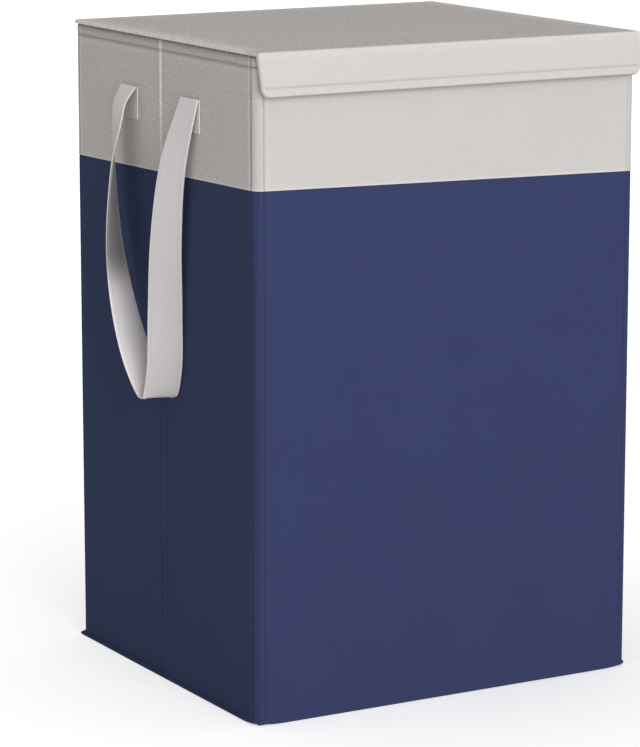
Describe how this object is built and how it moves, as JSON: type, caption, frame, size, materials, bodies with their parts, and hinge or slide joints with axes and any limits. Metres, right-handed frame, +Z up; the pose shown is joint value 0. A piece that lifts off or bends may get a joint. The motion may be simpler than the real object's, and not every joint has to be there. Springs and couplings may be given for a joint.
{
  "type": "laundry hamper",
  "caption": "Upright folding laundry hamper in grey and navy cloth, with a hinged flap lid, side carrying straps and removable bags side by side inside.",
  "frame": {"origin": "on the floor under the middle of the body, which is 4 mm behind the middle of the overall box", "axes": "+Z up. The front with the lid flap faces -Y, the hinged edge of the lid is on the +Y side, and the two carrying straps hang on the -X and +X sides."},
  "size_m": [0.482, 0.3751, 0.61],
  "materials": {
    "navy_cloth": "matt woven, navy blue",
    "grey_cloth": "matt woven, light grey with a fine fleck",
    "strap_webbing": "matt flat strap, light warm grey",
    "cardboard": "plain grey-brown board",
    "lining_cloth": "thin matt lining, off-white",
    "felt": "soft grey felt",
    "bag_cloth": "matt cotton, off-white"
  },
  "bodies": {
    "back_wall": {"back_board": "cardboard", "back_lower_cloth": "navy_cloth", "back_upper_cloth": "grey_cloth", "back_lining": "lining_cloth", "rear_left_corner_lower_cloth": "navy_cloth", "rear_left_corner_upper_cloth": "grey_cloth", "rear_right_corner_lower_cloth": "navy_cloth", "rear_right_corner_upper_cloth": "grey_cloth", "lid_hinge_strip": "grey_cloth", "bottom_cloth": "navy_cloth", "foot_binding": "navy_cloth", "floor_pad": "felt", "floor_lining": "lining_cloth", "divider_web": "lining_cloth", "left_bag": "bag_cloth", "left_bag_rim": "bag_cloth", "left_bag_rear_loop": "bag_cloth", "left_bag_front_loop": "bag_cloth", "right_bag": "bag_cloth", "right_bag_rim": "bag_cloth", "right_bag_rear_loop": "bag_cloth", "right_bag_front_loop": "bag_cloth"},
    "left_rear_wall": {"left_rear_board": "cardboard", "left_rear_lower_cloth": "navy_cloth", "left_rear_upper_cloth": "grey_cloth", "left_rear_lining": "lining_cloth", "left_rear_strap_tab": "strap_webbing"},
    "left_front_wall": {"left_front_board": "cardboard", "left_front_lower_cloth": "navy_cloth", "left_front_upper_cloth": "grey_cloth", "left_front_lining": "lining_cloth", "left_front_strap_tab": "strap_webbing"},
    "front_wall": {"front_board": "cardboard", "front_lower_cloth": "navy_cloth", "front_upper_cloth": "grey_cloth", "front_lining": "lining_cloth", "front_left_corner_lower_cloth": "navy_cloth", "front_left_corner_upper_cloth": "grey_cloth", "front_right_corner_lower_cloth": "navy_cloth", "front_right_corner_upper_cloth": "grey_cloth"},
    "right_rear_wall": {"right_rear_board": "cardboard", "right_rear_lower_cloth": "navy_cloth", "right_rear_upper_cloth": "grey_cloth", "right_rear_lining": "lining_cloth", "right_rear_strap_tab": "strap_webbing"},
    "right_front_wall": {"right_front_board": "cardboard", "right_front_lower_cloth": "navy_cloth", "right_front_upper_cloth": "grey_cloth", "right_front_lining": "lining_cloth", "right_front_strap_tab": "strap_webbing"},
    "lid": {"lid_top_cloth": "grey_cloth", "lid_board": "cardboard", "lid_lining": "lining_cloth"},
    "lid_flap": {"flap_cloth": "grey_cloth", "flap_board": "cardboard"},
    "left_handle": {"left_strap": "strap_webbing"},
    "right_handle": {"right_strap": "strap_webbing"}
  },
  "joints": [
    {"name": "left_rear_fold", "type": "hinge", "parent": "back_wall", "child": "left_rear_wall", "pos_m": [-0.1975, 0.1715, 0], "axis": [0, 0, -1], "range_deg": [-80, 0], "deforming": ["left_strap", "right_strap", "divider_web", "bottom_cloth", "foot_binding", "floor_pad", "floor_lining", "left_bag", "left_bag_rim", "left_bag_rear_loop", "left_bag_front_loop", "right_bag", "right_bag_rim", "right_bag_rear_loop", "right_bag_front_loop"]},
    {"name": "left_crease", "type": "hinge", "parent": "left_rear_wall", "child": "left_front_wall", "pos_m": [-0.2023, 0, 0], "axis": [0, 0, -1], "range_deg": [0, 160]},
    {"name": "left_front_fold", "type": "hinge", "parent": "left_front_wall", "child": "front_wall", "pos_m": [-0.1975, -0.1715, 0], "axis": [0, 0, -1], "range_deg": [-80, 0]},
    {"name": "right_rear_fold", "type": "hinge", "parent": "back_wall", "child": "right_rear_wall", "pos_m": [0.1975, 0.1715, 0], "axis": [0, 0, -1], "range_deg": [0, 80]},
    {"name": "right_front_fold", "type": "hinge", "parent": "front_wall", "child": "right_front_wall", "pos_m": [0.1975, -0.1715, 0], "axis": [0, 0, -1], "range_deg": [-80, 0]},
    {"name": "lid_hinge", "type": "hinge", "parent": "back_wall", "child": "lid", "pos_m": [0, 0.1815, 0.61], "axis": [-1, 0, 0], "range_deg": [0, 255]},
    {"name": "flap_hinge", "type": "hinge", "parent": "lid", "child": "lid_flap", "pos_m": [0, -0.1813, 0.61], "axis": [-1, 0, 0], "range_deg": [0, 120]},
    {"name": "left_handle_swing", "type": "hinge", "parent": "left_rear_wall", "child": "left_handle", "pos_m": [-0.2041, 0.0615, 0.5584], "axis": [0, 1, 0], "range_deg": [0, 150]},
    {"name": "right_handle_swing", "type": "hinge", "parent": "right_rear_wall", "child": "right_handle", "pos_m": [0.2041, 0.0615, 0.5584], "axis": [0, -1, 0], "range_deg": [0, 150]}
  ],
  "couplings": [
    {"joint": "left_crease", "follows": "left_rear_fold", "ratio": -2},
    {"joint": "left_front_fold", "follows": "left_rear_fold", "ratio": 1},
    {"joint": "right_rear_fold", "follows": "left_rear_fold", "ratio": -1},
    {"joint": "right_front_fold", "follows": "left_rear_fold", "ratio": 1}
  ]
}
